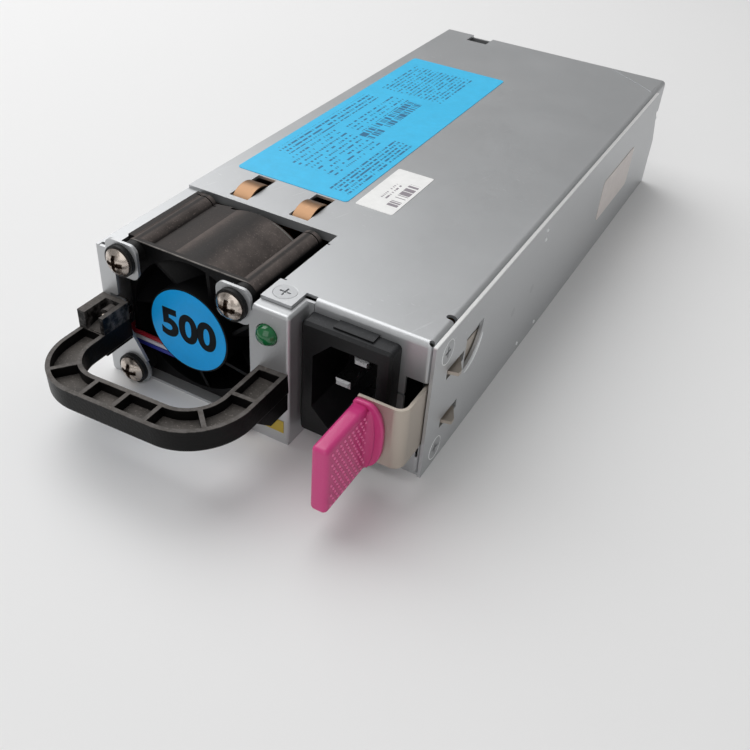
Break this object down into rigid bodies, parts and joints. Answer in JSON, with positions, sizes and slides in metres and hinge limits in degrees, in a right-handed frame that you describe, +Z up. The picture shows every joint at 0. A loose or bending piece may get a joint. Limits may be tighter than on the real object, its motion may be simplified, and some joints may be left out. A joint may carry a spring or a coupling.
{
  "type": "hot swap server power supply",
  "caption": "Slim slot-in power supply with a carrying loop, open-top cooling fan, upright mains inlet, side release latch and a rear contact tongue.",
  "frame": {"origin": "middle of the case's bottom face, at half the length of the case", "axes": "+X to the latch side, +Y from the front panel to the contact tongue, +Z up from the bottom"},
  "size_m": [0.0886, 0.234, 0.0405],
  "materials": {
    "zinc_sheet": "zinc plated, satin",
    "zinc_screw": "satin",
    "fan_plastic": "moulded, matt",
    "steel": "satin",
    "ferrite": "matt",
    "circuit_board": "lacquered",
    "nickel_screw": "polished nickel",
    "rubber": "matt",
    "wire_red": "satin",
    "wire_white": "satin",
    "wire_blue": "satin",
    "white_plastic": "matt",
    "black_nylon": "fine grain",
    "green_lens": "clear green",
    "black_moulding": "fine grain",
    "pin_metal": "polished",
    "spring_steel": "warm satin",
    "magenta_plastic": "satin",
    "copper_alloy": "satin",
    "blue_label": "satin",
    "white_label": "satin",
    "pale_label": "satin",
    "blue_disc": "satin",
    "yellow_label": "satin",
    "gold": "plated",
    "can_sleeve": "sleeve",
    "copper_winding": "enamelled",
    "aluminium": "extruded",
    "yellow_tape": "taped"
  },
  "bodies": {
    "chassis": {"base_tray": "zinc_sheet", "top_cover": "zinc_sheet", "front_panel": "zinc_sheet", "rear_panel": "zinc_sheet", "case_screws": "zinc_screw", "fan_frame": "fan_plastic", "fan_bearings": "steel", "fan_motor_core": "steel", "fan_motor_board": "circuit_board", "fan_screws": "nickel_screw", "fan_grommets": "rubber", "fan_wire_red": "wire_red", "fan_wire_white": "wire_white", "fan_wire_blue": "wire_blue", "fan_plug": "white_plastic", "handle": "black_nylon", "handle_screws": "nickel_screw", "status_lamp": "green_lens", "inlet_body": "black_moulding", "inlet_pins": "pin_metal", "latch_root": "spring_steel", "latch_rivets": "zinc_screw", "rating_label": "blue_label", "serial_label": "white_label", "side_label": "pale_label", "hub_label": "blue_disc", "caution_patch": "yellow_label", "main_board": "circuit_board", "board_standoffs": "steel", "edge_contacts": "gold", "bulk_capacitors": "can_sleeve", "output_capacitors": "can_sleeve", "choke_input": "copper_winding", "choke_boost": "copper_winding", "choke_output": "copper_winding", "primary_heat_sink": "aluminium", "primary_transistors": "black_moulding", "output_heat_sink": "aluminium", "output_transistors": "black_moulding", "transformer_core": "ferrite", "transformer_winding": "yellow_tape"},
    "fan_impeller": {"fan_rotor": "fan_plastic", "fan_shaft": "steel", "fan_magnet": "ferrite"},
    "release_latch": {"latch_spring": "spring_steel", "latch_grip": "magenta_plastic"},
    "finger_left": {"ground_finger_left": "copper_alloy"},
    "finger_right": {"ground_finger_right": "copper_alloy"}
  },
  "joints": [
    {"name": "fan_spin", "type": "hinge", "parent": "chassis", "child": "fan_impeller", "pos_m": [-0.0196, -0.07775, 0.0198], "axis": [0, 1, 0], "continuous": true},
    {"name": "latch_release", "type": "hinge", "parent": "chassis", "child": "release_latch", "pos_m": [0.0418, -0.04475, 0.01855], "axis": [0, 0, -1], "range_deg": [0, 4.5], "stiffness_Nm_per_rad": 2},
    {"name": "finger_left_press", "type": "hinge", "parent": "chassis", "child": "finger_left", "pos_m": [-0.0288, -0.06015, 0.0371], "axis": [-1, 0, 0], "range_deg": [0, 6], "stiffness_Nm_per_rad": 0.05},
    {"name": "finger_right_press", "type": "hinge", "parent": "chassis", "child": "finger_right", "pos_m": [-0.0104, -0.06015, 0.0371], "axis": [-1, 0, 0], "range_deg": [0, 6], "stiffness_Nm_per_rad": 0.05}
  ]
}
